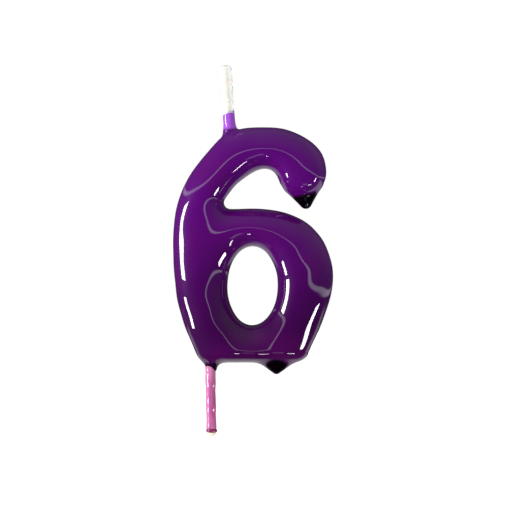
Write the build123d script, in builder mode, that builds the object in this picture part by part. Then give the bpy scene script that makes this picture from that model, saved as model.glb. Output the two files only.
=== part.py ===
from build123d import *
from math import cos, radians, sin, tan
import os

# Number birthday candle, the figure six.  A white wax figure is cast around a cotton wick
# and a plastic cake pick, then hung by its wick and dipped in a gloss lacquer that drains
# to the arm's end, the base and the pick.  Millimetres.  The figure stands up +Z, its width
# is X, its depth is Y and its front faces -Y.  The origin is the pick's root: the middle of
# the pick, on the underside of the lacquer lip that rests on the cake.

# Figure
figure_top = 71.1
figure_depth = 13.0
edge_round = 4.7
base_rim_round = 1.0
base_left = -2.7
base_right = 28.2
base_overrun = 5.0
base_left_flare = 2.2
base_right_flare = 1.9
outline_step = 2.5

# Bowl of the six, an upright oval hole
bowl_center = (12.7, 23.2)
bowl_half_width = 7.6
bowl_half_height = 11.9

# Arm end, and the crotch between arm and bowl
arm_side = (35.0, 57.7)
arm_bottom = (28.0, 50.0)
arm_inside = (20.6, 55.3)
crotch_radius = 1.9
crotch_center = (5.9, 48.3)
crotch_start = 145
crotch_turn = 125

# Lacquer
lacquer = 0.7
lip_thickness = 1.1
lip_inset = 0.5
lip_corner = 2.0
lip_round = 0.5

# Cotton wick and the primer wax that stiffens its stub
wick_radius = 0.75
wick_exit = (5.95, 69.7)
wick_shoulder = (-1.2, 47.0)
wick_end = (-3.2, 18.0)
wick_stub_length = 19.6
wick_lean = 5.0
wick_exit_bend = 12.0
wick_spine_bend = 40.0
sheath_length = 20.3
sheath_foot_radius = 1.5
sheath_top_radius = 1.95
sheath_top_round = 1.2
stub_foot_depth = 3.0

# Lacquer collar at the stub's foot
collar_film = 0.3
collar_height = 5.9
collar_waist_height = 2.6
collar_waist_radius = 1.95
collar_foot_radius = 2.9
collar_slant = 17.0
collar_overrun = 2.0

# Cake pick and the film on it
pick_radius = 1.25
pick_length = 22.1
pick_tip_radius = 0.9
pick_embedded = 14.0
barb_radius = 2.1
barb_height = 2.2
barb_pitch = 3.6
barb_count = 3
pick_film_thickness = 0.25
pick_film_end = -20.1
bead_half_height = 0.55

# Hardened drips: tip, half angle of the cone, radius of its mouth and of its rounded nose
arm_drip_tip = (29.0, 46.4)
arm_drip_angle = 42.5
arm_drip_mouth = 5.4
arm_drip_nose = 1.4
base_drip_tip = (20.0, -3.5)
base_drip_angle = 55.0
base_drip_mouth = 5.6
base_drip_nose = 1.5

os.makedirs("parts", exist_ok=True)


def keep(part, label):
    """Label a finished piece and write it out."""
    part.label = label
    export_step(part, f"parts/{label}.step")


# Outline of the figure in its own plane, X across and Y up, walked clockwise from the left
# of the base.  It overruns the base below, so that the base can be cut flat afterwards.
with BuildLine() as outline:
    arm_end = ThreePointArc(arm_side, arm_bottom, arm_inside)
    crotch = CenterArc(crotch_center, crotch_radius, crotch_start, crotch_turn)
    spine = Spline(
        (base_left + base_left_flare, -base_overrun),
        (-8.0, 11.6),
        (-11.3, 33.6),
        (-8.3, 52.7),
        (0.6, 65.4),
        (17.0, figure_top),
        tangents=((-0.45, 1), (1, 0)),
    )
    arm = Spline(spine @ 1, (28.3, 68.2), arm_end @ 0, tangents=((1, 0), arm_end % 0))
    underside = Spline(
        arm_end @ 1,
        (15.2, 58.4),
        (9.5, 55.2),
        crotch @ 0,
        tangents=(arm_end % 1, crotch % 0),
    )
    ring = Spline(
        crotch @ 1,
        (17.5, 46.3),
        (29.6, 41.8),
        (37.0, 26.6),
        (33.0, 10.4),
        (base_right - base_right_flare, -base_overrun),
        tangents=(crotch % 1, (-0.4, -1)),
    )
outline_curves = [spine, arm, arm_end, underside, crotch, ring]


def inset_point(curve, along, inset):
    """The point at a fraction along a curve, moved into the figure square to the curve."""
    tangent = curve % along
    return curve @ along + Vector(tangent.Y, -tangent.X) * inset


def inset_curve(curve, inset):
    """One outline curve moved into the figure by inset: an arc stays an arc."""
    if curve.geom_type == GeomType.CIRCLE:
        return ThreePointArc(*[inset_point(curve, along, inset) for along in (0, 0.5, 1)])
    count = round(curve.length / outline_step)
    points = [inset_point(curve, index / count, inset) for index in range(count + 1)]
    return Spline(*points, tangents=(curve % 0, curve % 1), tangent_scalars=(1, 1))


def figure_solid(inset):
    """The rounded figure, shrunk all round by inset and cut flat at its base."""
    with BuildPart() as body:
        with BuildSketch(Plane.XZ):
            with BuildLine():
                curves = [inset_curve(curve, inset) for curve in outline_curves]
                Line(curves[-1] @ 1, curves[0] @ 0)
            make_face()
            with Locations(bowl_center):
                Ellipse(bowl_half_width + inset, bowl_half_height + inset, mode=Mode.SUBTRACT)
        extrude(amount=figure_depth / 2 - inset, both=True)
        rims = body.faces().filter_by(Axis.Y).edges()
        rims = [edge for edge in rims if edge.center().Z > 0]
        fillet(rims, edge_round - inset)
        split(bisect_by=Plane.XY.offset(lip_thickness + inset), keep=Keep.TOP)
        base_rim = body.faces().sort_by(Axis.Z)[0].edges()
        fillet(base_rim, base_rim_round)
    return body.part


# Whole lacquered figure and the bare wax figure inside it
lacquered_figure = figure_solid(0)
bare_figure = figure_solid(lacquer)

# Wick: one cotton cord from the tip of its stub, through a bend where it leaves the figure,
# down the spine of the six to a little above the pick's head
stub_plane = Plane(
    origin=(wick_exit[0], 0, wick_exit[1]),
    x_dir=Vector(1, 0, 0).rotate(Axis.Y, -wick_lean),
    z_dir=(0, -1, 0),
)
with BuildPart() as wick:
    with BuildLine() as wick_path:
        FilletPolyline(
            stub_plane.origin + stub_plane.y_dir * wick_stub_length,
            stub_plane.origin,
            (wick_shoulder[0], 0, wick_shoulder[1]),
            (wick_end[0], 0, wick_end[1]),
            radius=[wick_exit_bend, wick_spine_bend],
        )
    with BuildSketch(Plane(origin=wick_path.line @ 0, z_dir=wick_path.line % 0)):
        Circle(wick_radius)
    sweep(path=wick_path.line)

# Cake pick: a round plastic skewer with a domed tip and barbs that the wax is cast around
with BuildPart() as cake_pick:
    with BuildSketch(Plane.XZ):
        with BuildLine():
            barb_points = []
            for index in range(barb_count):
                foot = pick_embedded - barb_height - (barb_count - 1 - index) * barb_pitch
                barb_points += [(pick_radius, foot), (barb_radius, foot)]
                barb_points += [(pick_radius, foot + barb_height)]
            Polyline(
                (0, -pick_length),
                (pick_radius, -pick_length),
                *barb_points,
                (0, pick_embedded),
                close=True,
            )
        make_face()
    revolve(axis=Axis.Z)
    fillet(cake_pick.edges().group_by(Axis.Z)[0], pick_tip_radius)

# Primer wax that stiffens the wick's stub, a little thicker towards its domed top
with BuildPart() as wick_wax_sheath:
    with BuildSketch(stub_plane):
        with BuildLine():
            Polyline(
                (0, -stub_foot_depth),
                (sheath_foot_radius, -stub_foot_depth),
                (sheath_top_radius, sheath_length),
                (0, sheath_length),
                close=True,
            )
        make_face()
    revolve(axis=Axis(stub_plane.origin, stub_plane.y_dir))
    fillet(wick_wax_sheath.edges().group_by(Axis.Z)[-1], sheath_top_round)
    add(bare_figure, mode=Mode.SUBTRACT)
    add(wick.part, mode=Mode.SUBTRACT)

# Wax core: the bare figure, cast around the wick and the barbed end of the pick
with BuildPart() as wax_core:
    add(bare_figure)
    add(wick.part, mode=Mode.SUBTRACT)
    add(cake_pick.part, mode=Mode.SUBTRACT)

# Gloss coat: the dipped skin over the whole wax core
with BuildPart() as gloss_coat:
    add(lacquered_figure)
    add(bare_figure, mode=Mode.SUBTRACT)
    add(wick_wax_sheath.part, mode=Mode.SUBTRACT)
    add(wick.part, mode=Mode.SUBTRACT)
    add(cake_pick.part, mode=Mode.SUBTRACT)

# Collar: lacquer drawn a few millimetres up the stub, cut off at a slant where it dried
with BuildPart() as wick_collar:
    with BuildSketch(stub_plane):
        with BuildLine():
            Polyline(
                (0, -stub_foot_depth),
                (collar_foot_radius, -stub_foot_depth),
                (collar_waist_radius, collar_waist_height),
                (sheath_foot_radius + collar_film, collar_height + collar_overrun),
                (0, collar_height + collar_overrun),
                close=True,
            )
        make_face()
    revolve(axis=Axis(stub_plane.origin, stub_plane.y_dir))
    collar_top = stub_plane.origin + stub_plane.y_dir * collar_height
    collar_up = stub_plane.y_dir.rotate(Axis.Y, -collar_slant)
    split(bisect_by=Plane(origin=collar_top, z_dir=collar_up), keep=Keep.BOTTOM)
    add(lacquered_figure, mode=Mode.SUBTRACT)
    add(wick_wax_sheath.part, mode=Mode.SUBTRACT)
    add(wick.part, mode=Mode.SUBTRACT)

# Lip: lacquer pooled under the flat base
with BuildPart() as base_lip:
    with BuildSketch(Plane.XY):
        with Locations(((base_left + base_right) / 2, 0)):
            RectangleRounded(
                base_right - base_left - 2 * lip_inset,
                figure_depth - 2 * base_rim_round,
                lip_corner,
            )
    extrude(amount=lip_thickness)
    fillet(base_lip.edges().group_by(Axis.Z)[0], lip_round)
    add(cake_pick.part, mode=Mode.SUBTRACT)

# Film on the pick, from the lip down
with BuildPart() as pick_film:
    with BuildSketch(Plane.XY):
        Circle(pick_radius + pick_film_thickness)
        Circle(pick_radius, mode=Mode.SUBTRACT)
    extrude(amount=pick_film_end)

# Bead: the last of the lacquer, set as a rounded ring just above the pick's bare tip
with BuildPart() as pick_tip_bead:
    with Locations((0, 0, pick_film_end - bead_half_height)):
        Sphere(pick_radius + pick_film_thickness)
    split(bisect_by=Plane.XY.offset(pick_film_end), keep=Keep.BOTTOM)
    split(bisect_by=Plane.XY.offset(pick_film_end - 2 * bead_half_height), keep=Keep.TOP)
    add(cake_pick.part, mode=Mode.SUBTRACT)


def drip(tip, axis_up, half_angle, mouth_radius, tip_radius):
    """A hanging drop: a cone about axis_up that ends in a ball of tip_radius at its tip."""
    slope = radians(half_angle)
    ball_side = (tip_radius * cos(slope), tip_radius * (1 - sin(slope)))
    mouth_height = ball_side[1] + (mouth_radius - ball_side[0]) / tan(slope)
    plane = Plane(origin=tip, x_dir=Vector(axis_up).rotate(Axis.Y, 90), z_dir=(0, -1, 0))
    with BuildPart() as drop:
        with BuildSketch(plane):
            with BuildLine():
                nose = TangentArc((0, 0), ball_side, tangent=(1, 0))
                Polyline(nose @ 1, (mouth_radius, mouth_height), (0, mouth_height), (0, 0))
            make_face()
        revolve(axis=Axis(tip, axis_up))
    return drop.part


# Drip under the arm's end, tangent to its rounding and centred on it
arm_center = arm_end.arc_center
arm_drip_point = Vector(arm_drip_tip[0], 0, arm_drip_tip[1])
arm_drip_up = (Vector(arm_center.X, 0, arm_center.Y) - arm_drip_point).normalized()
with BuildPart() as arm_drip:
    add(drip(arm_drip_point, arm_drip_up, arm_drip_angle, arm_drip_mouth, arm_drip_nose))
    add(lacquered_figure, mode=Mode.SUBTRACT)

# Drip under the base, hanging from the lip
base_drip_point = Vector(base_drip_tip[0], 0, base_drip_tip[1])
with BuildPart() as base_drip:
    add(drip(base_drip_point, Vector(0, 0, 1), base_drip_angle, base_drip_mouth, base_drip_nose))
    split(bisect_by=Plane.XY, keep=Keep.BOTTOM)

keep(wax_core.part, "wax_core")
keep(gloss_coat.part, "gloss_coat")
keep(wick.part, "wick")
keep(wick_wax_sheath.part, "wick_wax_sheath")
keep(wick_collar.part, "wick_collar")
keep(cake_pick.part, "cake_pick")
keep(pick_film.part, "pick_film")
keep(pick_tip_bead.part, "pick_tip_bead")
keep(base_lip.part, "base_lip")
keep(base_drip.part, "base_drip")
keep(arm_drip.part, "arm_drip")
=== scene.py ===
import math

import bmesh
import bpy
import numpy as np
import openvdb
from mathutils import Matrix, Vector
from mathutils.bvhtree import BVHTree


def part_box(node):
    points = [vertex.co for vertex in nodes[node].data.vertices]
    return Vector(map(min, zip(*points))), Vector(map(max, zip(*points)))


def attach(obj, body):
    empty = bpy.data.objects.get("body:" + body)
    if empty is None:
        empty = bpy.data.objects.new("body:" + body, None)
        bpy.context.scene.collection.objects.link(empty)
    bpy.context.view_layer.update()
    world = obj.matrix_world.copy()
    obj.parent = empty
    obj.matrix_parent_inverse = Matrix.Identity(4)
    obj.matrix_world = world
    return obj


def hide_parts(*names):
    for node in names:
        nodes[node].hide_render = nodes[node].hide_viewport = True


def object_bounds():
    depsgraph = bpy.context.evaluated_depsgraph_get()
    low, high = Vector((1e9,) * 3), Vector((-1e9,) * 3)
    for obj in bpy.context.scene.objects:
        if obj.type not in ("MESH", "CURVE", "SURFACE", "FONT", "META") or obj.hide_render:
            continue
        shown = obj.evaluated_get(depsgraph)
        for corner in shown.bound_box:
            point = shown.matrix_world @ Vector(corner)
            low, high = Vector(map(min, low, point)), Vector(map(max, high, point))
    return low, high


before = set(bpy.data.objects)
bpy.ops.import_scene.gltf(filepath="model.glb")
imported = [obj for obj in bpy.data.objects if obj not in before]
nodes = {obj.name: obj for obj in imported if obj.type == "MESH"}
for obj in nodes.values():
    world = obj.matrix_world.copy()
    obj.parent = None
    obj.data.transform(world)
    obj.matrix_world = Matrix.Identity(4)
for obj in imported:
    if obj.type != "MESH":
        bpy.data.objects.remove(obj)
cad_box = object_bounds()
scene = bpy.context.scene
MM = 0.001


# ---------------------------------------------------------------------------------------
# Camera: level with the middle of the candle and square to its front, with a long lens.
# It looks at a point halfway between the wick's tip and the pick's tip, beside the bowl.
# ---------------------------------------------------------------------------------------
view_distance = 0.60
view_width = 0.154
view_center = Vector((0.01345, 0, 0.0325))

camera_data = bpy.data.cameras.new("camera")
camera_data.sensor_width = 36
camera_data.lens = camera_data.sensor_width * view_distance / view_width
camera = bpy.data.objects.new("camera", camera_data)
camera.location = view_center + Vector((0, -view_distance, 0))
camera.rotation_euler = (math.radians(90), 0, 0)
scene.collection.objects.link(camera)
scene.camera = camera


# ---------------------------------------------------------------------------------------
# Wick: one cotton cord of three plaited strands, from the tip of its stub through a bend
# where it leaves the six and down the figure's spine, where the wax is cast around it.
# ---------------------------------------------------------------------------------------
wick_exit = (5.95, 69.7)
wick_shoulder = (-1.2, 47.0)
wick_end = (-3.2, 18.0)
strand_radius = 0.36
plait_pitch = 4.2
plait_half_width = 0.37
plait_half_depth = 0.2
plait_step = 0.3
strand_sides = 8
cotton_shadow = (0.70, 0.64, 0.52)
cotton_light = (0.93, 0.89, 0.80)


def node_points(name):
    """A CAD node's vertices in millimetres."""
    mesh = nodes[name].data
    points = np.empty(len(mesh.vertices) * 3)
    mesh.vertices.foreach_get("co", points)
    return points.reshape(-1, 3) / MM


# The stub's axis, from the rings of the CAD wick at its tip and where its bend begins
wick_points = node_points("wick")
ring_depth = 0.3
tip_height = wick_points[:, 2].max()
stub_tip = wick_points[wick_points[:, 2] > tip_height - ring_depth].mean(0)
below = wick_points[wick_points[:, 2] < tip_height - 1]
stub_foot = below[below[:, 2] > below[:, 2].max() - ring_depth].mean(0)


def wick_line():
    """The wick's middle line as one smooth curve, straight along the stub."""
    data = bpy.data.curves.new("wick_line", "CURVE")
    data.dimensions = "3D"
    data.resolution_u = 16
    stub = [stub_tip * (1 - share) + stub_foot * share for share in (0, 0.5, 1)]
    bends = [np.array((x, 0, z)) for x, z in (wick_exit, wick_shoulder, wick_end)]
    route = stub + bends
    spline = data.splines.new("NURBS")
    spline.points.add(len(route) - 1)
    for control, place in zip(spline.points, route):
        control.co = (*(place * MM), 1)
    spline.order_u = 3
    spline.use_endpoint_u = True
    line = bpy.data.objects.new("wick_line", data)
    scene.collection.objects.link(line)
    return line


class Value:
    """A number that varies over a surface: each sum on it adds its own Math node."""

    def __init__(self, finish, socket):
        self.finish = finish
        self.socket = socket

    def reckon(self, operation, *terms):
        settings = {"operation": operation}
        return self.finish.node("ShaderNodeMath", settings, dict(enumerate((self, *terms))))

    def __add__(self, other):
        return self.reckon("ADD", other)

    def __radd__(self, other):
        return self.reckon("ADD", other)

    def __sub__(self, other):
        return self.reckon("SUBTRACT", other)

    def __rsub__(self, other):
        return self.reckon("MULTIPLY", -1).reckon("ADD", other)

    def __mul__(self, other):
        return self.reckon("MULTIPLY", other)

    def __rmul__(self, other):
        return self.reckon("MULTIPLY", other)

    def step(self, low, high):
        """A soft step from 0 at low to 1 at high."""
        settings = {"interpolation_type": "SMOOTHSTEP"}
        limits = {"Value": self, "From Min": low, "From Max": high}
        return self.finish.node("ShaderNodeMapRange", settings, limits)


class Wiring:
    """A tree of nodes in the making, added one by one."""

    def __init__(self, tree):
        self.tree = tree

    def node(self, kind, settings, inputs, output=0):
        """Add a node: its settings first, then its sockets, by name or by number."""
        node = self.tree.nodes.new(kind)
        for name, value in settings.items():
            if name == "stops":
                ramp = node.color_ramp
                while len(ramp.elements) < len(value):
                    ramp.elements.new(0.5)
                for stop, (place, colour) in zip(ramp.elements, value):
                    stop.position = place
                    stop.color = (*colour, 1)
            else:
                setattr(node, name, value)
        for socket, value in inputs.items():
            self.put(node.inputs[socket], value)
        return Value(self, node.outputs[output])

    def put(self, socket, value):
        if isinstance(value, Value):
            self.tree.links.new(value.socket, socket)
        elif hasattr(value, "__len__") and len(value) == 3 and socket.type == "RGBA":
            socket.default_value = (*value, 1)
        else:
            socket.default_value = value


class Finish(Wiring):
    """A material in the making: its nodes feed its one shader."""

    def __init__(self, name, **constants):
        self.material = bpy.data.materials.new(name)
        self.material.use_nodes = True
        super().__init__(self.material.node_tree)
        self.shader = self.tree.nodes["Principled BSDF"]
        for socket, value in constants.items():
            self.shader.inputs[socket.replace("_", " ")].default_value = value

    def feed(self, socket, value):
        self.put(self.shader.inputs[socket], value)

    def attribute(self, name):
        return self.node("ShaderNodeAttribute", {"attribute_name": name}, {}, "Fac")

    def noise(self, scale, detail=2.0, stretch=(1, 1, 1)):
        """Cloudy variation from 0 to 1 with about scale lumps to the metre."""
        place = self.node("ShaderNodeTexCoord", {}, {}, "Object")
        moved = self.node("ShaderNodeMapping", {}, {"Vector": place, "Scale": stretch})
        inputs = {"Vector": moved, "Scale": scale, "Detail": detail}
        return self.node("ShaderNodeTexNoise", {}, inputs, "Fac")

    def mix(self, share, first, second):
        """One colour run into another.  The colour sockets are the Mix node's last ones."""
        settings = {"data_type": "RGBA"}
        return self.node("ShaderNodeMix", settings, {0: share, 6: first, 7: second}, 2)

    def bump(self, height, distance, strength=1.0):
        inputs = {"Height": height, "Distance": distance, "Strength": strength}
        self.feed("Normal", self.node("ShaderNodeBump", {}, inputs, "Normal"))


finish = Finish("plaited_cotton", Sheen_Weight=0.4, Subsurface_Weight=0.2, Subsurface_Scale=0.0006)
fibres = finish.noise(5200, 3.0, (1, 1, 0.25))
finish.feed("Base Color", finish.mix(fibres, cotton_shadow, cotton_light))
finish.feed("Roughness", 0.75 + fibres * 0.2)
finish.bump(fibres, 0.0001, 0.6)
cotton = finish.material


def plait_tree():
    """Three strands that weave side to side and over each other along a curve."""
    tree = bpy.data.node_groups.new("wick_plait", "GeometryNodeTree")
    interface = tree.interface
    interface.new_socket("Line", in_out="INPUT", socket_type="NodeSocketGeometry")
    for name in ("Pitch", "Half width", "Half depth", "Strand radius"):
        interface.new_socket(name, in_out="INPUT", socket_type="NodeSocketFloat")
    interface.new_socket("Plait", in_out="OUTPUT", socket_type="NodeSocketGeometry")
    plait = Wiring(tree)
    given = tree.nodes.new("NodeGroupInput").outputs
    pitch, half_width, half_depth, radius = [Value(plait, given[at]) for at in range(1, 5)]
    step_length = {"Curve": Value(plait, given["Line"]), "Length": plait_step * MM}
    fine_line = plait.node("GeometryNodeResampleCurve", {"mode": "LENGTH"}, step_length)
    along = plait.node("GeometryNodeSplineParameter", {}, {}, "Length")
    tangent = plait.node("GeometryNodeInputTangent", {}, {})
    crossed = {0: tangent, 1: (0, 1, 0)}
    side = plait.node("ShaderNodeVectorMath", {"operation": "CROSS_PRODUCT"}, crossed)
    strands = plait.tree.nodes.new("GeometryNodeJoinGeometry")
    circle = {"Resolution": strand_sides, "Radius": radius}
    ring = plait.node("GeometryNodeCurvePrimitiveCircle", {}, circle)
    for index in range(3):
        phase = (along * (2 * math.pi)).reckon("DIVIDE", pitch) + index * 2 * math.pi / 3
        across = {0: side, "Scale": phase.reckon("SINE") * half_width}
        sideways = plait.node("ShaderNodeVectorMath", {"operation": "SCALE"}, across)
        over = (phase * 2).reckon("SINE") * half_depth
        upward = plait.node("ShaderNodeCombineXYZ", {}, {"Y": over})
        moved = plait.node("ShaderNodeVectorMath", {}, {0: sideways, 1: upward})
        bent = plait.node("GeometryNodeSetPosition", {}, {"Geometry": fine_line, "Offset": moved})
        swept = {"Curve": bent, "Profile Curve": ring, "Fill Caps": True}
        strand = plait.node("GeometryNodeCurveToMesh", {}, swept)
        tree.links.new(strand.socket, strands.inputs[0])
    whole = plait.node("GeometryNodeRealizeInstances", {}, {0: Value(plait, strands.outputs[0])})
    finished = plait.node("GeometryNodeSetMaterial", {}, {"Geometry": whole, "Material": cotton})
    tree.links.new(finished.socket, tree.nodes.new("NodeGroupOutput").inputs["Plait"])
    return tree


def plaited(name, line, sizes):
    """The plait along a curve as a plain mesh, and the points of the curve."""
    plain_line = bpy.data.meshes.new_from_object(line)
    middle = np.array([vert.co / MM for vert in plain_line.vertices])
    modifier = line.modifiers.new("plait", "NODES")
    modifier.node_group = plait_tree()
    for socket in modifier.node_group.interface.items_tree:
        if socket.name in sizes:
            modifier[socket.identifier] = sizes[socket.name]
    evaluated = line.evaluated_get(bpy.context.evaluated_depsgraph_get())
    mesh = bpy.data.meshes.new_from_object(evaluated)
    mesh.shade_smooth()
    line.modifiers.remove(modifier)
    bpy.data.objects.remove(line)
    piece = bpy.data.objects.new(name, mesh)
    scene.collection.objects.link(piece)
    return piece, middle


plait_sizes = {
    "Pitch": plait_pitch * MM,
    "Half width": plait_half_width * MM,
    "Half depth": plait_half_depth * MM,
    "Strand radius": strand_radius * MM,
}
wick, wick_middle = plaited("wick_plait", wick_line(), plait_sizes)
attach(wick, "root")
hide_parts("wick")


# ---------------------------------------------------------------------------------------
# Cake pick: a moulded skewer of cream plastic with a domed tip, three barbs on its head that
# the wax is cast around, and the faint parting line and bow that such a thin moulding has.
# ---------------------------------------------------------------------------------------
pick_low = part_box("cake_pick")[0].z / MM
pick_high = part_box("cake_pick")[1].z / MM
pick_radius = 1.25
barb_radius = 2.1
barb_height = 2.2
barb_pitch = 3.6
barb_count = 3
pick_bow = 0.38
pick_sides = 64
parting_height = 0.05
parting_spread = 0.12
tip_rounding = 0.85
shank_step = 0.6
shank_end = 3.6
barb_edge = 0.12
barb_back = 0.3
head_rim = 0.25
head_flat = 0.45
plastic_shadow = (0.80, 0.66, 0.44)
plastic_light = (0.92, 0.82, 0.64)


def bowed(points):
    """Points near the pick's axis, moved with the slight bow of its lower end."""
    drop = np.clip(points[:, 2] / pick_low, 0, 1)
    return points + np.outer(pick_bow * drop**1.5, (1, 0, 0))


def turned(name, profile, sides, waver=None, closed=False):
    """A closed mesh turned about the pick's axis from (radius, height) points.  An open
    profile starts and ends on the axis; a closed one makes a ring or a sleeve.  waver
    gives each point's extra radius from its angle, radius and height."""
    stations = profile if closed else profile[1:-1]
    angles = np.arange(sides) * 2 * math.pi / sides
    points = []
    for radius, height in stations:
        extra = waver(angles, radius, height) if waver else 0.0
        reach = radius + extra
        ring = (reach * np.cos(angles), reach * np.sin(angles), np.full(sides, height))
        points.append(np.stack(ring, axis=1))
    faces = []
    rounds = len(stations) if closed else len(stations) - 1
    for station in range(rounds):
        first, second = station * sides, (station + 1) % len(stations) * sides
        for side in range(sides):
            after = (side + 1) % sides
            faces.append((first + side, first + after, second + after, second + side))
    points = np.concatenate(points)
    if not closed:
        poles = np.array([(0, 0, profile[0][1]), (0, 0, profile[-1][1])])
        bottom, top = len(points), len(points) + 1
        last = len(points) - sides
        points = np.concatenate([points, poles])
        for side in range(sides):
            after = (side + 1) % sides
            faces.append((bottom, after, side))
            faces.append((top, last + side, last + after))
    mesh = bpy.data.meshes.new(name)
    mesh.from_pydata(bowed(points) * MM, [], faces)
    mesh.shade_smooth()
    piece = bpy.data.objects.new(name, mesh)
    scene.collection.objects.link(piece)
    return piece


def pick_profile():
    """The pick's half section from its domed tip up over its barbs to its head."""
    profile = [(0, pick_low)]
    for turn in np.linspace(-90, 0, 12):
        radius = pick_radius - tip_rounding + tip_rounding * math.cos(math.radians(turn))
        height = pick_low + tip_rounding + tip_rounding * math.sin(math.radians(turn))
        profile.append((radius, height))
    for height in np.arange(pick_low + 1.4, shank_end, shank_step):
        profile.append((pick_radius, height))
    for index in range(barb_count):
        foot = pick_high - barb_height - (barb_count - 1 - index) * barb_pitch
        profile += [(pick_radius, foot - 0.3), (pick_radius + 0.02, foot - 0.02)]
        profile += [(barb_radius - barb_edge, foot), (barb_radius, foot + 0.1)]
        profile += [(pick_radius + barb_back, foot + barb_height * 0.7)]
        profile += [(pick_radius, foot + barb_height)]
    profile[-1] = (pick_radius - head_rim, pick_high - 0.06)
    profile += [(pick_radius - head_flat, pick_high), (0, pick_high)]
    return profile


def parting_line(angles, radius, height):
    """A hair-thin ridge down both sides, where the two halves of the mould met."""
    return parting_height * np.exp(-((np.sin(angles) / parting_spread) ** 2)) * min(radius, 1)


cake_pick = turned("pick_moulding", pick_profile(), pick_sides, parting_line)
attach(cake_pick, "root")
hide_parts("cake_pick")

finish = Finish("cream_plastic", Subsurface_Weight=0.25, Subsurface_Scale=0.001)
flow = finish.noise(350, 3.0, (1, 1, 0.2))
finish.feed("Base Color", finish.mix(flow, plastic_shadow, plastic_light))
finish.feed("Roughness", 0.32 + flow * 0.16)
finish.bump(flow, 0.00008, 0.4)
cake_pick.data.materials.append(finish.material)


# ---------------------------------------------------------------------------------------
# Wax core: the bare six of white wax, cast in a two-part mould round the wick and the pick's
# barbed head.  It is shaped as a level surface, a smooth function of place in millimetres
# that is negative inside, and meshed where that is zero.
# ---------------------------------------------------------------------------------------
figure_depth = 13.0
side_rounding = 8.0
base_rounding = 4.4
lacquer_thickness = 0.7
outline_height = 0.4
outline_pitch = 0.25
outline_margin = 4
flank_length = 1.6
flank_foot = -8
map_foot = -7.5
edge_zone = (0.8, 3.0)
edge_easing = 0.5
least_steepness = 0.3
core_pitch = 0.6
wick_channel = 0.85
socket_clearance = 0.05
side_room = 3
front_room = 9.0
foot_room = 6.5
crown_room = 6
wax_shadow = (0.84, 0.80, 0.71)
wax_light = (0.93, 0.91, 0.86)


def figure_outline():
    """The figure's outline as line segments (X, Z): the coat's section near its middle,
    closed over the wick and carried straight down past the base."""
    wax = bmesh.new()
    wax.from_mesh(nodes["wax_core"].data)
    wax_tree = BVHTree.FromBMesh(wax)
    coat = bmesh.new()
    coat.from_mesh(nodes["gloss_coat"].data)
    bmesh.ops.remove_doubles(coat, verts=coat.verts, dist=1e-7)
    everything = coat.verts[:] + coat.edges[:] + coat.faces[:]
    bmesh.ops.bisect_plane(
        coat,
        geom=everything,
        plane_co=(0, outline_height * MM, 0),
        plane_no=(0, 1, 0),
        clear_inner=True,
        clear_outer=True,
    )
    coat_thickness = 0.5 * MM
    flank_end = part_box("gloss_coat")[0].z / MM + flank_length
    segments = set()
    for edge in coat.edges:
        ends = [(round(vert.co.x / MM, 3), round(vert.co.z / MM, 3)) for vert in edge.verts]
        middle = (edge.verts[0].co + edge.verts[1].co) / 2
        on_skin = wax_tree.find_nearest(middle)[3] > coat_thickness
        if on_skin and ends[0] != ends[1] and min(ends[0][1], ends[1][1]) > flank_end:
            segments.add(tuple(sorted(ends)))
    segments = sorted(segments)
    wax.free()
    coat.free()
    met = {}
    for segment in segments:
        for point, other in (segment, segment[::-1]):
            met.setdefault(point, []).append(other)
    loose = sorted((point for point, others in met.items() if len(others) == 1), key=lambda p: p[1])
    feet = []
    for point in loose[:2]:
        above = met[point][0]
        slope = (point[0] - above[0]) / (point[1] - above[1])
        feet.append((point[0] + slope * (flank_foot - point[1]), flank_foot))
        segments.append((point, feet[-1]))
    segments.append(tuple(feet))
    segments.append(tuple(loose[2:]))
    return np.array(segments)


outline = figure_outline()


def outline_depth():
    """How far inside the outline each point of a fine X-Z grid lies, negative outside."""
    low = outline.min((0, 1)) - outline_margin
    low[1] = map_foot
    high = outline.max((0, 1)) + outline_margin
    xs = np.arange(low[0], high[0], outline_pitch)
    zs = np.arange(low[1], high[1], outline_pitch)
    walls = []
    corners = []
    for (ax, az), (bx, bz) in outline:
        first = len(corners)
        corners += [(ax, -1, az), (bx, -1, bz), (bx, 1, bz), (ax, 1, az)]
        walls.append(range(first, first + 4))
    tree = BVHTree.FromPolygons(corners, walls)
    depth = np.array([[tree.find_nearest((x, 0, z))[3] for z in zs] for x in xs])
    start, end = outline[:, 0], outline[:, 1]
    for row, z in enumerate(zs):
        crossing = (start[:, 1] > z) != (end[:, 1] > z)
        a, b = start[crossing], end[crossing]
        crossed_at = np.sort(a[:, 0] + (z - a[:, 1]) * (b[:, 0] - a[:, 0]) / (b[:, 1] - a[:, 1]))
        outside = np.searchsorted(crossed_at, xs) % 2 == 0
        depth[outside, row] *= -1
    return low, depth


depth_origin, depth_map = outline_depth()


def membrane(inside, rounds=450, pull=1.92):
    """Heights of a membrane held at the outline's edge and blown up evenly, with its slopes."""
    height = np.zeros(inside.shape)
    odd = np.indices(inside.shape).sum(0) % 2 == 1
    for _ in range(rounds):
        for cells in (inside & odd, inside & ~odd):
            ringed = np.pad(height, 1, mode="edge")
            around = ringed[:-2, 1:-1] + ringed[2:, 1:-1] + ringed[1:-1, :-2] + ringed[1:-1, 2:]
            height[cells] += pull * ((around + outline_pitch**2) / 4 - height)[cells]
    return height, np.gradient(height, outline_pitch)


def smooth_step(low, high, value):
    share = np.clip((value - low) / (high - low), 0, 1)
    return share * share * (3 - 2 * share)


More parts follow.
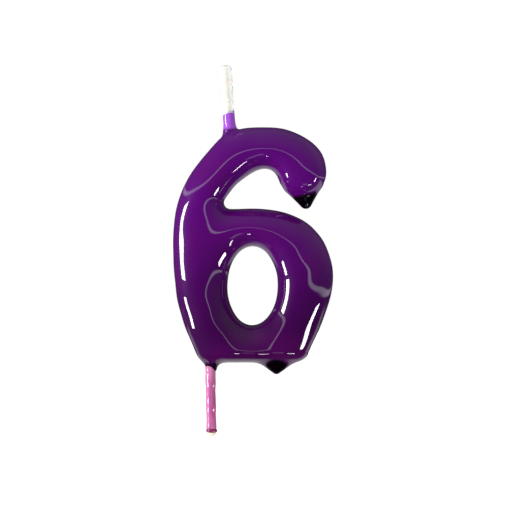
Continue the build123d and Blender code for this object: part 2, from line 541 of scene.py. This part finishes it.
def blurred(values, radius):
    """A grid smoothed by a bell curve of the given radius in cells."""
    reach = int(3 * radius)
    bell = np.exp(-0.5 * (np.arange(-reach, reach + 1) / radius) ** 2)
    bell /= bell.sum()
    for axis in (0, 1):
        padding = [(reach, reach) if at == axis else (0, 0) for at in (0, 1)]
        padded = np.pad(values, padding, mode="reflect", reflect_type="odd")
        values = np.apply_along_axis(np.convolve, axis, padded, bell, mode="valid")
    return values


def side_slope_map():
    """The square of how far each place has fallen from its stroke's crest, 0 on the crest
    and 1 at the outline.  It follows the edge itself close by, and the membrane further in, so
    that crests and the places where strokes meet are smooth."""
    height, slopes = membrane(depth_map > 0)
    fall = slopes[0] ** 2 + slopes[1] ** 2
    from_crest = np.sqrt(fall / (2 * height + fall + 1e-9))
    from_edge = 1 - depth_map / side_rounding
    share = smooth_step(*edge_zone, depth_map)
    fallen = share * from_crest**2 + (1 - share) * from_edge * np.abs(from_edge)
    return blurred(fallen, edge_easing / outline_pitch)


fall_map = side_slope_map()


def grid_value(values, origin, pitch, at):
    """Cubic reading of a 2-D grid at points (N, 2)."""
    place = (at - origin) / pitch
    cell = np.clip(np.floor(place).astype(int), 1, np.array(values.shape) - 3)
    part = place - cell
    total = 0
    for i, wi in enumerate(cubic_weights(part[:, 0])):
        for j, wj in enumerate(cubic_weights(part[:, 1])):
            total = total + wi * wj * values[cell[:, 0] + i - 1, cell[:, 1] + j - 1]
    return total


def cubic_weights(t):
    """Catmull-Rom weights of the four cells around a fraction."""
    return (
        ((2 - t) * t - 1) * t / 2,
        ((3 * t - 5) * t * t + 2) / 2,
        ((4 - 3 * t) * t + 1) * t / 2,
        (t - 1) * t * t / 2,
    )


def figure_field(points, inset=0.0):
    """The bare rounded six: an oval section that is full over the strokes' middles."""
    rounding = side_rounding - inset
    fallen = grid_value(fall_map, depth_origin, outline_pitch, points[:, [0, 2]])
    side = np.sqrt(np.maximum(fallen, 0)) * side_rounding / rounding
    base = np.maximum(1 - (points[:, 2] - inset) / base_rounding, 0)
    rim = (side**4 + base**4) ** 0.25
    half_depth = figure_depth / 2 - inset
    value = points[:, 1] ** 2 - half_depth**2 * (1 - rim**2)
    through = 2 * points[:, 1]
    sideways = 2 * half_depth**2 * rim / rounding
    return value / np.sqrt(through**2 + sideways**2 + (least_steepness * half_depth) ** 2)


def line_distance(points, line):
    """Each point's distance from a line of many short runs."""
    nearest = np.full(len(points), np.inf)
    for start, end in zip(line, line[1:]):
        run = end - start
        share = np.clip((points - start) @ run / (run @ run), 0, 1)
        nearest = np.minimum(nearest, np.linalg.norm(points - start - share[:, None] * run, axis=1))
    return nearest


def pick_socket_field(points):
    """Room for the barbed pick, as deep as its head."""
    radius = np.hypot(points[:, 0], points[:, 1])
    from_top = pick_high - points[:, 2]
    barb = np.clip((from_top % barb_pitch) / barb_height, 0, 1)
    on_barb = from_top % barb_pitch < barb_height
    wall = np.where(on_barb, pick_radius + (barb_radius - pick_radius) * barb, 0)
    wall = np.where(from_top < barb_count * barb_pitch, np.maximum(wall, pick_radius), pick_radius)
    return np.maximum(radius - wall - socket_clearance, -from_top)


def wax_field(points):
    """The bare figure, less the wick's channel and the pick's socket."""
    body = figure_field(points, lacquer_thickness)
    body = np.maximum(body, wick_channel - line_distance(points, wick_middle))
    return np.maximum(body, -pick_socket_field(points))


def surface_mesh(name, field, low, high, pitch, settle=4):
    """A closed mesh of quads on a field's zero level, evened out and set onto it."""
    axes = [np.arange(a, b, pitch) for a, b in zip(low, high)]
    grid_points = np.stack(np.meshgrid(*axes, indexing="ij"), axis=-1).reshape(-1, 3)
    values = field(grid_points).reshape([len(axis) for axis in axes])
    far_outside = 10.0
    volume = openvdb.FloatGrid(far_outside)
    volume.copyFromArray(np.ascontiguousarray(values, dtype=np.float32))
    corners, quads = volume.convertToQuads(0)
    points = corners * pitch + low
    quads = quads.astype(np.int64)
    edges = np.concatenate([quads[:, [0, 1]], quads[:, [1, 2]], quads[:, [2, 3]], quads[:, [3, 0]]])
    edges = np.concatenate([edges, edges[:, ::-1]])
    count = np.bincount(edges[:, 0], minlength=len(points))[:, None]
    for _ in range(settle):
        sums = [np.bincount(edges[:, 0], points[edges[:, 1], k], len(points)) for k in range(3)]
        points = (points + np.stack(sums, axis=1) / count) / 2
        points = settled(points, field)
    mesh = bpy.data.meshes.new(name)
    mesh.from_pydata(points * MM, [], quads.tolist())
    mesh.shade_smooth()
    outward = field_slope(points, field)
    outward /= np.linalg.norm(outward, axis=1)[:, None]
    mesh.normals_split_custom_set_from_vertices(outward)
    piece = bpy.data.objects.new(name, mesh)
    scene.collection.objects.link(piece)
    return piece, points


def field_slope(points, field, step=0.02):
    """How fast a field rises along X, Y and Z at each point."""
    slope = np.empty_like(points)
    for k in range(3):
        nudge = np.zeros(3)
        nudge[k] = step
        slope[:, k] = (field(points + nudge) - field(points - nudge)) / (2 * step)
    return slope


def settled(points, field, longest=0.3):
    """Points moved square to a field's level onto its zero."""
    slope = field_slope(points, field)
    move = field(points) / (slope**2).sum(1)
    return points - np.clip(move, -longest, longest)[:, None] * slope


figure_low = np.array([outline[..., 0].min() - side_room, -front_room, -foot_room])
figure_top = outline[..., 1].max() + crown_room
figure_high = np.array([outline[..., 0].max() + side_room, front_room, figure_top])
wax_core, _ = surface_mesh("wax_casting", wax_field, figure_low, figure_high, core_pitch, settle=2)
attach(wax_core, "root")
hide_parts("wax_core")

finish = Finish("cast_wax", Subsurface_Weight=0.5, Subsurface_Scale=0.003, Coat_Weight=0.1)
blooming = finish.noise(180, 4.0)
finish.feed("Base Color", finish.mix(blooming, wax_shadow, wax_light))
finish.feed("Roughness", 0.42 + blooming * 0.2)
finish.bump(finish.noise(900, 3.0), 0.0001, 0.4)
wax_core.data.materials.append(finish.material)


# ---------------------------------------------------------------------------------------
# Primer wax: the wick's stub is dipped in clear hard wax to stiffen it.  It set in a lumpy
# drop-shaped sleeve, thin where it meets the six and thickest just below its domed top.
# ---------------------------------------------------------------------------------------
sheath_foot_reach = -1.5
sheath_foot_radius = 1.6
sheath_top_radius = 2.1
sheath_overrun = 0.55
dome_rounding = 1.9
long_lump = 0.07
short_lump = 0.05
sheath_pitch = 0.22
primer_haze = (0.90, 0.91, 0.87)
primer_clear = (0.96, 0.97, 0.94)


def along_axis(points, foot, tip):
    """Distance along the line from foot to tip, and distance from that line."""
    direction = (tip - foot) / np.linalg.norm(tip - foot)
    reach = (points - foot) @ direction
    return reach, np.linalg.norm(points - foot - reach[:, None] * direction, axis=1)


def ripple(points, height, lengths, seed):
    """Slow unevenness of a poured skin: a few crossing waves of the given lengths."""
    draw = np.random.default_rng(seed)
    total = np.zeros(len(points))
    for length in lengths:
        heading = draw.normal(size=3)
        heading *= 2 * math.pi / length / np.linalg.norm(heading)
        total += np.sin(points @ heading + draw.uniform(0, 2 * math.pi))
    return total * height / math.sqrt(len(lengths))


def smooth_union(a, b, blend):
    """The nearer of two surfaces, with a fillet of about the blend length between them."""
    share = np.clip(0.5 + 0.5 * (b - a) / blend, 0, 1)
    return b + (a - b) * share - blend * share * (1 - share)


def sheath_field(points):
    """The sleeve about the stub, swelling upwards, with a soft dome and slow lumps."""
    reach, radius = along_axis(points, stub_foot, stub_tip)
    top = np.linalg.norm(stub_tip - stub_foot)
    share = np.clip(reach / top, 0, 1)
    wall = sheath_foot_radius + (sheath_top_radius - sheath_foot_radius) * share
    wall = wall + long_lump * np.sin(reach * 1.9 + 0.8)
    wall = wall + short_lump * np.sin(reach * 3.1 + points[:, 1])
    dome = reach - top - sheath_overrun
    sleeve = -smooth_union(wall - radius, -dome, dome_rounding)
    sleeve = np.maximum(sleeve, sheath_foot_reach - reach)
    return sleeve + ripple(points, 0.03, (2.3, 3.1, 4.2), 12)


stub_box = np.array([stub_foot, stub_tip])
sheath_low = stub_box.min(0) - (3, 3, 2.5)
sheath_high = stub_box.max(0) + (3, 3, 2)
sheath, _ = surface_mesh("primer_wax_sleeve", sheath_field, sheath_low, sheath_high, sheath_pitch)
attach(sheath, "root")
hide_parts("wick_wax_sheath")

finish = Finish(
    "clear_primer_wax",
    Transmission_Weight=0.6,
    Specular_IOR_Level=0.2,
    IOR=1.35,
    Subsurface_Weight=0.3,
    Subsurface_Scale=0.002,
)
haze = finish.noise(500, 3.0)
finish.feed("Base Color", finish.mix(haze, primer_haze, primer_clear))
finish.feed("Roughness", 0.12 + haze * 0.2)
finish.bump(finish.noise(400, 2.0), 0.0002, 0.3)
sheath.data.materials.append(finish.material)


# ---------------------------------------------------------------------------------------
# Lacquer: the wax six is dipped in purple gloss lacquer and hung up by its wick to drain, so
# one continuous skin runs from the collar on the wick over the whole six, and pools under
# the base, round the pick's root and in two hanging drips.
# ---------------------------------------------------------------------------------------
skin_pitch = 0.36
drip_fillet = 0.9
base_fillet = 1.8
root_fillet = 4.2
collar_fillet = 1.0
ripple_height = 0.06
ripple_lengths = (7, 8, 9, 11, 13, 16)
collar_waist = 1.80
collar_flare = 0.5
collar_height = 3.6
collar_slant = 0.42
collar_edge = 0.35
collar_depth = 5.0
root_neck = 1.3
root_swell = 0.5
root_slant = 1.3
root_foot = -3.2
root_top = 3.0


def drip_field(points, tip, root, half_angle, nose, height, flatness):
    """A hanging drop: a cone that ends in a ball of the nose's radius.  Towards its mouth,
    at the given height, it is flatter in Y, to lie within the body that it hangs from."""
    reach, _ = along_axis(points, tip, root)
    flatter = 1 + (flatness - 1) * np.clip(reach / height, 0, 1.4)
    across = np.stack([points[:, 0], points[:, 1] * flatter, points[:, 2]], axis=1)
    reach, radius = along_axis(across, tip, root)
    reach = reach - nose
    slope = math.radians(half_angle)
    cone = radius * math.cos(slope) - reach * math.sin(slope) - nose
    ball = np.hypot(radius, reach) - nose
    before_cone = radius * math.sin(slope) + reach * math.cos(slope) < 0
    drop = np.where(before_cone, ball, cone)
    return -smooth_union(-drop, height - reach, 1.0)


arm_tip = np.array([29.0, 0, 46.4])
arm_root = np.array([27.65, 0, 57.3])
base_tip = np.array([19.9, 0, -3.5])
base_root = base_tip + (0, 0, 10)


def collar_field(points):
    """Lacquer drawn up the stub: a flared foot, a waist, and a slanted dry edge."""
    reach, radius = along_axis(points, stub_foot, stub_tip)
    wall = collar_waist + collar_flare * smooth_step(0.6, -3.4, reach)
    above_edge = reach - collar_height - collar_slant * (points[:, 0] - stub_foot[0])
    tube = -smooth_union(wall - radius, -above_edge, collar_edge)
    return np.maximum(tube, -collar_depth - reach)


def pick_root_field(points):
    """Lacquer that ran a little way down the pick and tapers into its film."""
    radius = np.hypot(points[:, 0], points[:, 1])
    wall = root_neck + root_swell * smooth_step(-1.4, 0.4, points[:, 2] + root_slant * points[:, 0])
    ends = np.maximum(root_foot - points[:, 2], points[:, 2] - root_top)
    return np.maximum(radius - wall, ends)


def lacquer_field(points):
    """The whole skin of lacquer, with its runs rounded into each other."""
    arm_shape = {"half_angle": 36.5, "nose": 1.9, "height": 4.7, "flatness": 1.6}
    base_shape = {"half_angle": 54, "nose": 1.5, "height": 3.6, "flatness": 1.8}
    skin = figure_field(points)
    skin = smooth_union(skin, drip_field(points, arm_tip, arm_root, **arm_shape), drip_fillet)
    skin = smooth_union(skin, drip_field(points, base_tip, base_root, **base_shape), base_fillet)
    skin = smooth_union(skin, pick_root_field(points), root_fillet)
    skin = smooth_union(skin, collar_field(points), collar_fillet)
    return skin + ripple(points, ripple_height, ripple_lengths, 6)


lacquer, lacquer_points = surface_mesh(
    "lacquer_skin", lacquer_field, figure_low, figure_high, skin_pitch
)
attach(lacquer, "root")
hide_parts("gloss_coat", "base_lip", "base_drip", "arm_drip", "wick_collar")


def paint(piece, name, values):
    """Store one number a vertex on a piece, for its material to read."""
    layer = piece.data.attributes.new(name, "FLOAT", "POINT")
    layer.data.foreach_set("value", np.asarray(values, dtype=np.float32))


# How dark the lacquer is, as a share: 0 in the film on the collar, 0.44 at the crown, darker
# towards the bottom to 0.59 at the base, and about 1 in the two drips, where it lies thick
crown_share = 0.44
lower_darkening_share = 0.15
root_share = 0.28
drip_share = 0.5
arm_drip_lean = 0.187
collar_reach, collar_radius = along_axis(lacquer_points, stub_foot, stub_tip)
on_collar = smooth_step(-2.0, -1.2, collar_reach) * smooth_step(3.6, 2.4, collar_radius)
above_arm_drip = lacquer_points[:, 2] - arm_drip_lean * (lacquer_points[:, 0] - arm_tip[0])
in_arm_drip = smooth_step(51.3, 50.1, above_arm_drip)
in_arm_drip = in_arm_drip * (lacquer_points[:, 2] > 45) * (lacquer_points[:, 0] > 21)
from_drip = np.hypot((lacquer_points[:, 0] - base_tip[0]) / 3.0, (lacquer_points[:, 2] + 1.0) / 2.0)
in_base_drip = smooth_step(1.2, 0.75, from_drip)
root_away = np.hypot(lacquer_points[:, 0] - 1.0, lacquer_points[:, 1])
in_pick_root = smooth_step(0.8, -1.2, lacquer_points[:, 2]) * smooth_step(4.5, 2.5, root_away)
# Darker towards the bottom: up to 0.15 more, from 55 mm high down to 2 mm
lower_darkening = lower_darkening_share * smooth_step(55.0, 2.0, lacquer_points[:, 2])
thickness = (crown_share + lower_darkening) * (1 - on_collar)
thickness = thickness + drip_share * np.maximum(in_arm_drip, in_base_drip)
thickness = thickness + root_share * in_pick_root * (1 - in_base_drip)
paint(lacquer, "thickness", thickness)

finish = Finish(
    "purple_lacquer",
    Roughness=0.35,
    Specular_IOR_Level=0.03,
    Coat_Weight=1.0,
    Coat_Roughness=0.012,
    Coat_IOR=1.5,
)
clouds = finish.noise(60, 2.0)
lilac = (0.26, 0.06, 0.46)
violet = (0.070, 0.001, 0.128)
purple = (0.058, 0.0006, 0.100)
deep_purple = (0.024, 0.0, 0.033)
root_purple = (0.012, 0.0, 0.018)
near_black = (0.001, 0.0, 0.0015)
plum = (0.075, 0.001, 0.085)
thin_to_thick = [(0.0, lilac), (0.38, violet), (0.46, purple)]
thin_to_thick += [(0.60, deep_purple), (0.78, root_purple), (0.95, near_black)]
lying = finish.attribute("thickness")
body_colour = finish.node("ShaderNodeValToRGB", {"stops": thin_to_thick}, {"Fac": lying})
on_six = (1 - lying.step(0.58, 0.75)) * lying.step(0.1, 0.4)
plum_share = clouds.step(0.45, 0.75) * 0.4 * on_six
finish.feed("Base Color", finish.mix(plum_share, body_colour, plum))
finish.feed("Coat Weight", 1 - lying.step(0.7, 0.95) * 0.8)
finish.feed("Roughness", 0.3 + clouds * 0.12)
finish.bump(finish.noise(420, 2.0), 0.00002, 0.25)
lacquer.data.materials.append(finish.material)


# ---------------------------------------------------------------------------------------
# Film: the lacquer that ran off down the pick dried there as a thin wavy sleeve, pale enough
# for the cream plastic to show through, and ended in a dark ring just above the bare tip.
# ---------------------------------------------------------------------------------------
film_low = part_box("pick_film")[0].z / MM
film_radius = 1.5
film_top = 0.6
film_step = 0.25
film_sides = 56
film_lump = 0.05
film_rib = 0.025
film_shoulder = 0.1
inner_wall = pick_radius + parting_height + 0.01
bead_drop = 0.45
bead_half_height = 0.55
bead_edge = 0.25
bead_swell = 0.2
bead_sag = 0.05
film_deep = (0.50, 0.09, 0.30)
film_pale = (0.72, 0.26, 0.52)
bead_deep = (0.12, 0.01, 0.06)
bead_pale = (0.30, 0.03, 0.14)


def film_waver(angles, radius, height):
    """Slow unevenness of the run: wider where it left the root, lumpy further down."""
    if radius < film_radius:
        return 0.0
    lumps = film_lump * np.sin(height * 0.9 + 0.5) + film_rib * np.sin(height * 1.7 + angles)
    return lumps + film_shoulder * smooth_step(-9.0, -1.0, height)


film_heights = np.arange(film_top, film_low + 0.3, -film_step)
film_profile = [(inner_wall, height) for height in film_heights]
film_profile += [(inner_wall, film_low + 0.05), (film_radius - 0.05, film_low)]
film_profile += [(film_radius, height) for height in film_heights[::-1]]
film = turned("pick_film_sleeve", film_profile, film_sides, film_waver, closed=True)
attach(film, "root")
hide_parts("pick_film")

finish = Finish(
    "pink_film",
    Transmission_Weight=0.35,
    IOR=1.45,
    Coat_Weight=1.0,
    Coat_Roughness=0.02,
)
runs = finish.noise(260, 3.0, (1, 1, 0.35))
finish.feed("Base Color", finish.mix(runs.step(0.3, 0.7), film_deep, film_pale))
finish.feed("Roughness", 0.12 + runs * 0.1)
finish.bump(runs, 0.0001, 0.3)
film.data.materials.append(finish.material)


def bead_profile():
    """The half section of the dark ring, round outside and flat against the pick."""
    middle = film_low - bead_drop
    profile = [(inner_wall, middle + 0.5), (inner_wall, middle - 0.5)]
    for turn in np.linspace(-75, 75, 11):
        reach = film_radius - bead_edge + (bead_edge + bead_swell) * math.cos(math.radians(turn))
        profile.append((reach, middle + bead_half_height * math.sin(math.radians(turn))))
    return profile


def bead_waver(angles, radius, height):
    """A little more lacquer hangs on one side of the ring."""
    return bead_sag * np.sin(angles + 2.5) if radius > inner_wall else 0.0


bead = turned("pick_bead_ring", bead_profile(), film_sides, bead_waver, closed=True)
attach(bead, "root")
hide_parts("pick_tip_bead")

finish = Finish(
    "pooled_lacquer",
    Transmission_Weight=0.2,
    IOR=1.45,
    Coat_Weight=1.0,
    Coat_Roughness=0.02,
)
depth_clouds = finish.noise(700, 2.0)
finish.feed("Base Color", finish.mix(depth_clouds, bead_deep, bead_pale))
finish.feed("Roughness", 0.12 + depth_clouds * 0.12)
finish.bump(depth_clouds, 0.0002, 0.4)
bead.data.materials.append(finish.material)


# ---------------------------------------------------------------------------------------
# Stage: a plain pale floor just under the pick's tip, a white surround, and six soft white
# lamps.  What the gloss mirrors is apart: reflected rays don't see the floor, and see a grey
# studio instead of the white one.
# ---------------------------------------------------------------------------------------
floor_size = 1.6
floor_gap = 0.0005
floor_height = cad_box[0].z - floor_gap
floor_glow = 0.3
white = (1.0, 1.0, 1.0)
lamp_distance = 0.6

floor_mesh = bmesh.new()
bmesh.ops.create_grid(floor_mesh, x_segments=8, y_segments=8, size=floor_size / 2)
for vert in floor_mesh.verts:
    vert.co.z = floor_height
floor_data = bpy.data.meshes.new("floor")
floor_mesh.to_mesh(floor_data)
floor_mesh.free()
floor = bpy.data.objects.new("floor", floor_data)
scene.collection.objects.link(floor)
floor.visible_glossy = False
floor_finish = Finish("pale_floor", Roughness=0.9, Emission_Strength=floor_glow)
floor_finish.feed("Emission Color", white)
floor_clouds = floor_finish.mix(floor_finish.noise(8), (0.9, 0.9, 0.9), (0.94, 0.94, 0.94))
floor_finish.feed("Base Color", floor_clouds)
floor_data.materials.append(floor_finish.material)

scene.view_settings.view_transform = "Standard"
world = bpy.data.worlds.new("surround")
world.use_nodes = True
scene.world = world


class Surround(Finish):
    """The world's nodes, made the same way as a material's."""

    def __init__(self, surround):
        Wiring.__init__(self, surround.node_tree)
        self.shader = self.tree.nodes["Background"]


surround = Surround(world)
facing = surround.node("ShaderNodeTexCoord", {}, {}, "Generated")
parts = surround.node("ShaderNodeSeparateXYZ", {}, {0: facing})
across = Value(surround, parts.socket.node.outputs[0])
behind = Value(surround, parts.socket.node.outputs[1])
upward = Value(surround, parts.socket.node.outputs[2])

# The mirrored studio, all in greys: a dim overhead soft box with a bright lower edge, dark
# below it and nearly dark behind, but pale low down behind, where a table would show
slant = across * 0.30 + upward * 0.95
overhead = surround.mix(slant.step(0.1, 0.9), (0.05, 0.05, 0.05), (0.28, 0.28, 0.28))
soft_box = surround.mix(slant.step(0.06, 0.13), (0.0, 0.0, 0.0), overhead)
edge = slant.step(0.06, 0.08) - slant.step(0.10, 0.12)
left_room = surround.mix((0 - across).step(0.3, 0.95), soft_box, (0.08, 0.08, 0.08))
front = surround.mix(edge * 0.9, left_room, (2.7, 2.7, 2.7))
rim = surround.mix(behind.step(0.15, 0.95), front, (0.04, 0.04, 0.04))
under = (1 - upward.step(-0.34, -0.26)) * behind.step(0.28, 0.42)
light = surround.mix(under, rim, (0.9, 0.9, 0.9))
glossy = surround.node("ShaderNodeLightPath", {}, {}, "Is Glossy Ray")
mirrored = glossy * (1 - surround.node("ShaderNodeLightPath", {}, {}, "Is Transmission Ray"))
surround.feed("Color", surround.mix(mirrored, white, light))
surround.feed("Strength", 1.0)


def lamp(name, azimuth, elevation, width, height, power):
    """A soft rectangular light aimed at the candle's middle, placed by angle round it."""
    data = bpy.data.lights.new(name, "AREA")
    data.shape = "RECTANGLE"
    data.size = width
    data.size_y = height
    data.energy = power
    turn, rise = math.radians(azimuth), math.radians(elevation)
    heading = Vector(
        (math.sin(turn) * math.cos(rise), -math.cos(turn) * math.cos(rise), math.sin(rise))
    )
    light_object = bpy.data.objects.new(name, data)
    light_object.location = view_center + heading * lamp_distance
    light_object.rotation_euler = heading.to_track_quat("Z", "Y").to_euler()
    scene.collection.objects.link(light_object)


lamp("left_window", azimuth=-68, elevation=6, width=0.16, height=0.24, power=4.0)
lamp("left_lower_pane", azimuth=-72, elevation=-17, width=0.12, height=0.12, power=1.5)
lamp("right_window", azimuth=62, elevation=-22, width=0.12, height=0.14, power=1.6)
lamp("lower_strip", azimuth=40, elevation=-42, width=0.17, height=0.04, power=0.6)
lamp("front_strip", azimuth=-3, elevation=-52, width=0.03, height=0.03, power=0.15)
lamp("lower_panel", azimuth=10, elevation=-34, width=0.15, height=0.11, power=0.06)
